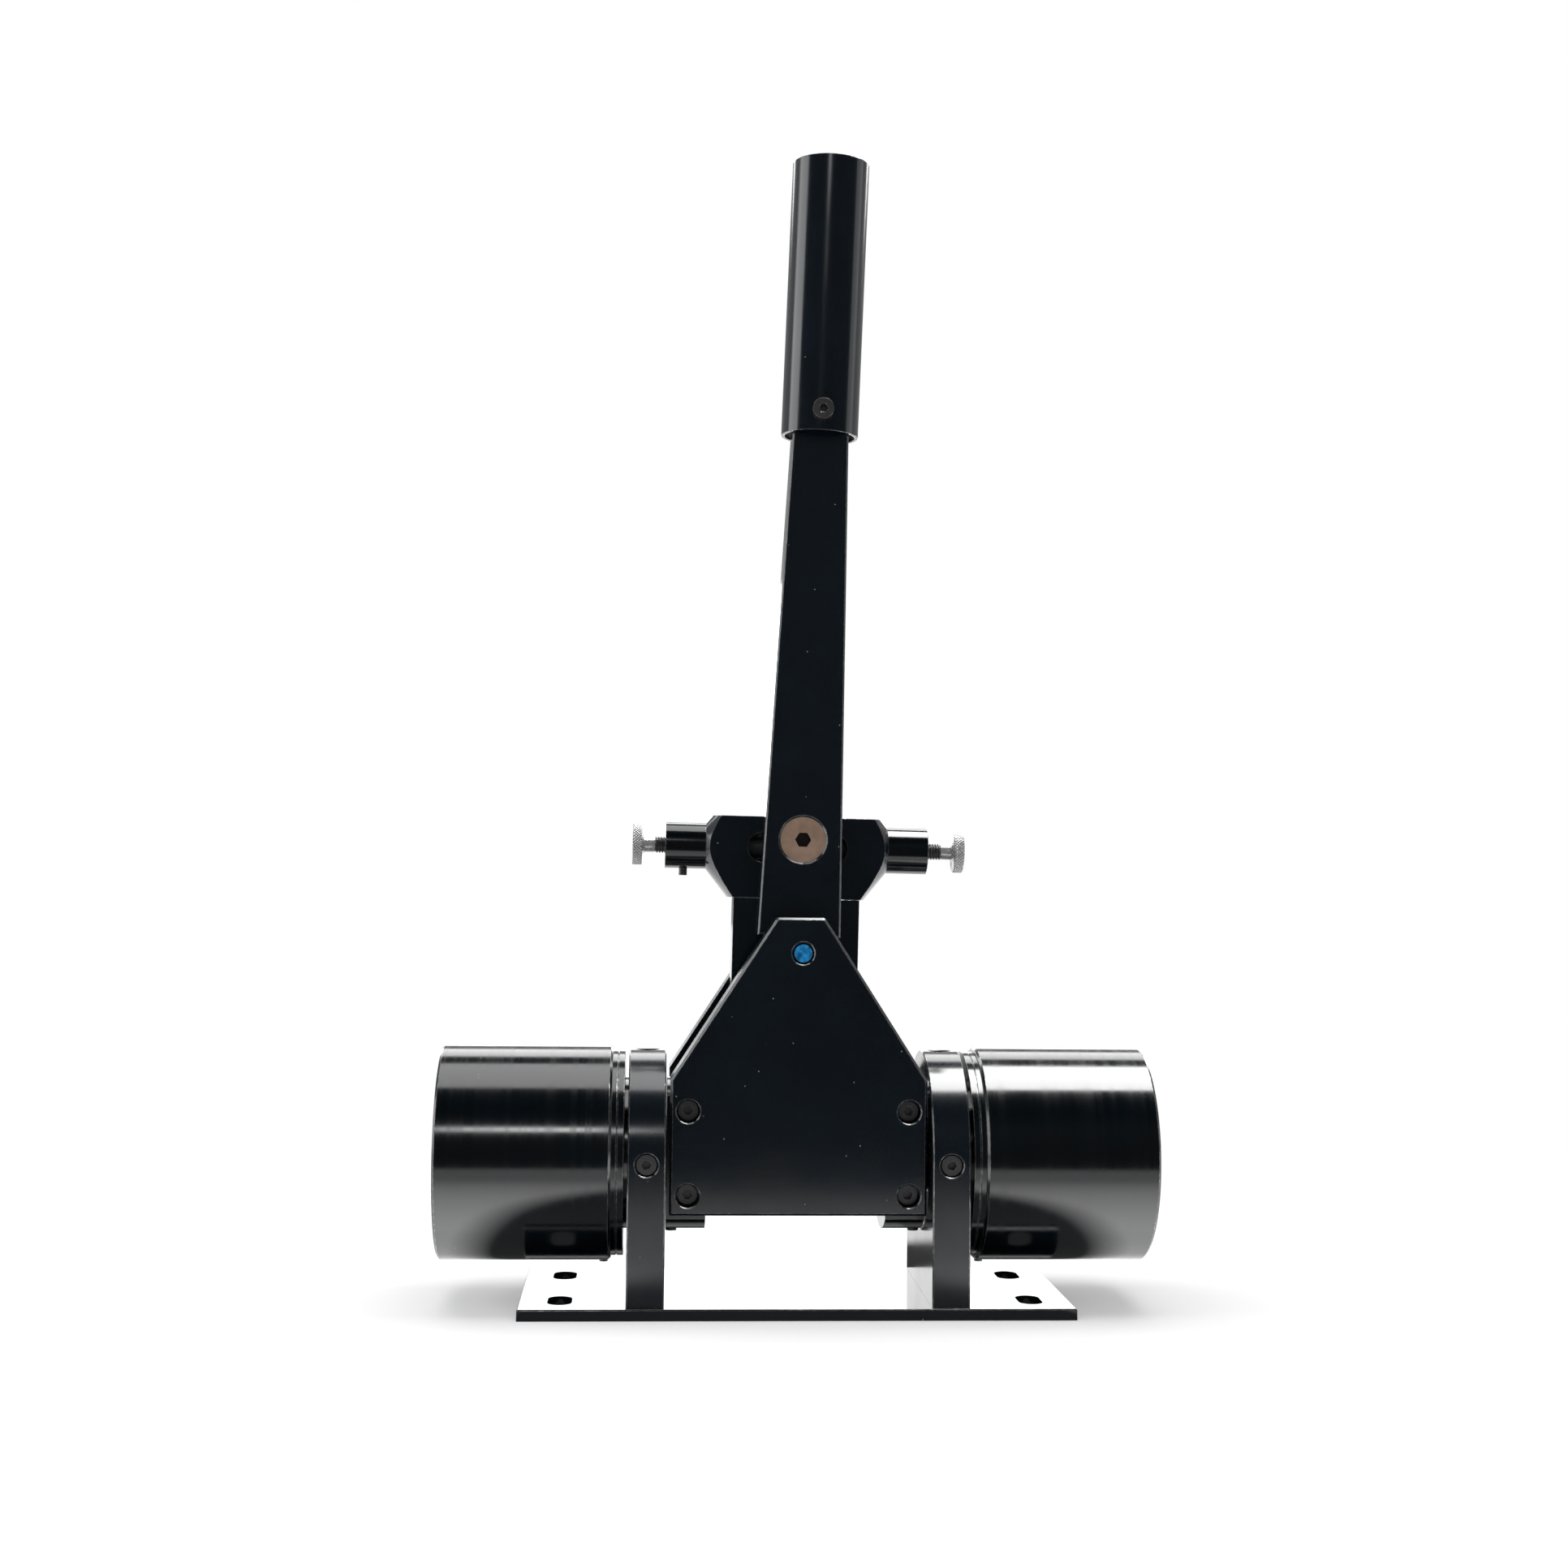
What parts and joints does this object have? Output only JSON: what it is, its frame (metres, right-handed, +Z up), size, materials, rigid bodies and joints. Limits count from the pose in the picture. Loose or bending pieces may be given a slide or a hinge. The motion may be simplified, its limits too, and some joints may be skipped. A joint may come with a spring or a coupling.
{
  "type": "two-axis trunnion mount with hand lever",
  "caption": "Hand-lever mount: a yoke turns on a trunnion between two friction-drag drums, and a tilting rocker carries a lever with a tube grip.",
  "frame": {"origin": "centre of the base plate's underside", "axes": "+X along the trunnion, to the right seen from the front (the lever's side); +Y from the front to the back; +Z up"},
  "size_m": [0.253, 0.0786, 0.4135],
  "materials": {
    "anodised_satin": "black satin anodised",
    "anodised_gloss": "black polished anodised",
    "tube_black": "black bright-dipped anodised",
    "black_steel": "black oxide",
    "stainless": "turned",
    "bolt_bronze": "warm grey turned stainless steel",
    "ground_steel": "ground",
    "bearing_steel": "polished",
    "bronze": "plain",
    "thread_locker": "blue set resin",
    "lining": "moulded friction lining",
    "spring_steel": "plain",
    "acetal": "turned dark grey"
  },
  "bodies": {
    "base": {"base_plate": "anodised_gloss", "base_screws": "black_steel", "clamp_screws": "black_steel", "friction_linings": "lining", "drag_springs": "spring_steel", "end_cap_screws": "black_steel", "drum_lock_screws": "black_steel", "post_left": "anodised_satin", "post_right": "anodised_satin", "drum_collar_left": "anodised_gloss", "drum_collar_right": "anodised_gloss", "drum_shell_left": "anodised_gloss", "drum_shell_right": "anodised_gloss", "end_cap_left": "anodised_gloss", "end_cap_right": "anodised_gloss", "pressure_plate_left": "ground_steel", "pressure_plate_right": "ground_steel", "bearing_outer_left": "bearing_steel", "bearing_outer_right": "bearing_steel"},
    "yoke": {"front_plate": "anodised_satin", "back_plate": "anodised_satin", "plate_screws": "black_steel", "hub_lock_screws": "black_steel", "rotor_nuts": "black_steel", "tilt_pin": "black_steel", "thread_lock": "thread_locker", "tilt_spacer": "bronze", "tilt_washer": "bronze", "hub_left": "anodised_satin", "hub_right": "anodised_satin", "trunnion_shaft_left": "ground_steel", "trunnion_shaft_right": "ground_steel", "bearing_inner_left": "bearing_steel", "bearing_inner_right": "bearing_steel", "drag_rotor_left": "ground_steel", "drag_rotor_right": "ground_steel"},
    "rocker": {"rocker_post": "anodised_satin", "rocker_block": "anodised_satin", "block_screws": "black_steel", "tilt_bush": "bronze", "sleeve_lock_screw": "black_steel", "sleeve_left": "anodised_satin", "sleeve_right": "anodised_satin"},
    "lever": {"lever_bar": "anodised_satin", "lever_journal": "anodised_satin", "pivot_bolt": "bolt_bronze", "pivot_washer": "black_steel", "pivot_nut": "black_steel", "grip_tube": "tube_black", "tube_plug": "tube_black", "tube_screw": "black_steel"},
    "drag_plug_left": {"drag_plug_left": "acetal"},
    "drag_plug_right": {"drag_plug_right": "acetal"},
    "thumb_screw_left": {"knob_left": "stainless", "stud_left": "black_steel"},
    "thumb_screw_right": {"knob_right": "stainless", "stud_right": "black_steel"}
  },
  "joints": [
    {"name": "altitude", "type": "hinge", "parent": "base", "child": "yoke", "pos_m": [0, 0, 0.0527], "axis": [1, 0, 0], "range_deg": [-75, 75]},
    {"name": "side_tilt", "type": "hinge", "parent": "yoke", "child": "rocker", "pos_m": [0.0009, 0, 0.1257], "axis": [0, 1, 0], "range_deg": [-15, 15]},
    {"name": "lever_pivot", "type": "hinge", "parent": "rocker", "child": "lever", "pos_m": [0.0015, 0, 0.1658], "axis": [0, 1, 0], "range_deg": [-7, 7]},
    {"name": "drag_plug_slide_left", "type": "slide", "parent": "rocker", "child": "drag_plug_left", "axis": [-0.9999, 0, 0.0148], "range_m": [0, 0.003]},
    {"name": "thumb_screw_left", "type": "hinge", "parent": "drag_plug_left", "child": "thumb_screw_left", "pos_m": [-0.04944, 0.0092, 0.16375], "axis": [-0.9999, 0, 0.0148], "range_deg": [-1080.01, 0]},
    {"name": "drag_plug_slide_right", "type": "slide", "parent": "rocker", "child": "drag_plug_right", "axis": [0.9999, 0, -0.0148], "range_m": [0, 0.003]},
    {"name": "thumb_screw_right", "type": "hinge", "parent": "drag_plug_right", "child": "thumb_screw_right", "pos_m": [0.05055, 0.0092, 0.16227], "axis": [0.9999, 0, -0.0148], "range_deg": [-1080.01, 0]}
  ],
  "couplings": [
    {"joint": "thumb_screw_left", "follows": "drag_plug_slide_left", "rad_per_m": -6283.2},
    {"joint": "thumb_screw_right", "follows": "drag_plug_slide_right", "rad_per_m": -6283.2}
  ]
}
